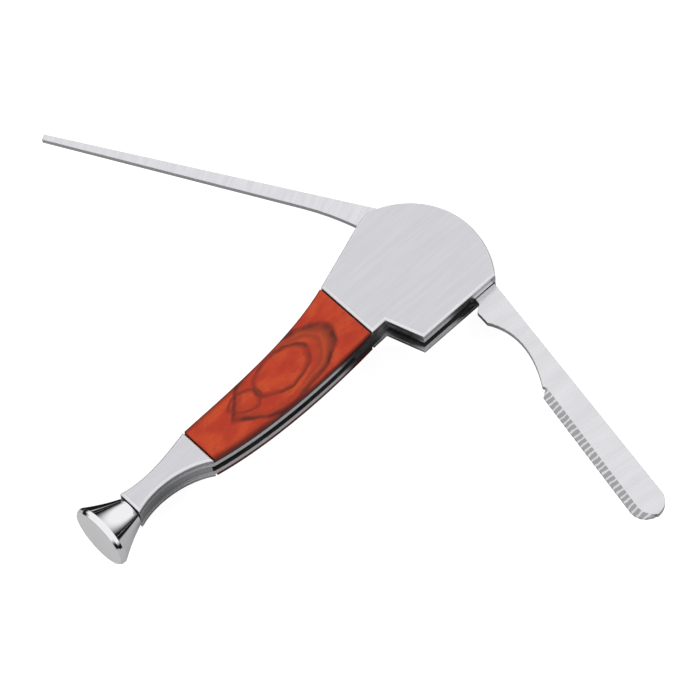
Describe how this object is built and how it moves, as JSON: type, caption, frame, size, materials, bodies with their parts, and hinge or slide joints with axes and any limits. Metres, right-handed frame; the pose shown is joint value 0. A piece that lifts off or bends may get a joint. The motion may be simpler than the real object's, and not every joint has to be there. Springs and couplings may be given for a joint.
{
  "type": "folding pipe tool",
  "caption": "Flat folding pocket tool: tamper foot on a slim neck, steel bolsters round red wood scales, and a pick and a serrated reamer blade that fold into the handle.",
  "frame": {"origin": "on the rear face, on the tamper foot's centre line, level with the middle of the round head", "axes": "+Z from the rear face to the front face, +Y from the tamper foot to the round head, +X to the side that the blade opens on"},
  "size_m": [0.1213, 0.0796, 0.0109],
  "materials": {
    "brushed_bolster": "satin, brushed along the handle, bright edge chamfers",
    "red_wood": "red stained, looping dark grain, satin lacquer",
    "bright_liner": "satin, with bright sheared edges",
    "dark_core": "dull",
    "tool_steel": "satin, fine grinding lines across",
    "pin_steel": "turned",
    "bronze_washer": "plain",
    "polished_foot": "mirror polish, satin end face"
  },
  "bodies": {
    "handle": {"front_head_bolster": "brushed_bolster", "rear_head_bolster": "brushed_bolster", "front_neck_bolster": "brushed_bolster", "rear_neck_bolster": "brushed_bolster", "front_wood_scale": "red_wood", "rear_wood_scale": "red_wood", "front_liner": "bright_liner", "rear_liner": "bright_liner", "head_core": "dark_core", "shoulder_core": "dark_core", "neck_core": "dark_core", "pick_pivot_pin": "pin_steel", "blade_pivot_pin": "pin_steel", "head_rivet_left": "pin_steel", "head_rivet_right": "pin_steel", "shoulder_rivet_upper": "pin_steel", "shoulder_rivet_lower": "pin_steel", "neck_rivet_upper": "pin_steel", "neck_rivet_lower": "pin_steel", "pick_washer_rear": "bronze_washer", "pick_washer_front": "bronze_washer", "blade_washer_rear": "bronze_washer", "blade_washer_front": "bronze_washer", "tamper_foot": "polished_foot"},
    "pick": {"pick": "tool_steel"},
    "blade": {"blade": "tool_steel"}
  },
  "joints": [
    {"name": "pick_pivot", "type": "hinge", "parent": "handle", "child": "pick", "pos_m": [-0.0062, 0.0072, 0.00284], "axis": [0, 0, 1], "range_deg": [-113.3, 66.7]},
    {"name": "blade_pivot", "type": "hinge", "parent": "handle", "child": "blade", "pos_m": [0.0085, 0.0078, 0.00284], "axis": [0, 0, 1], "range_deg": [-83.1, 96.9]}
  ]
}
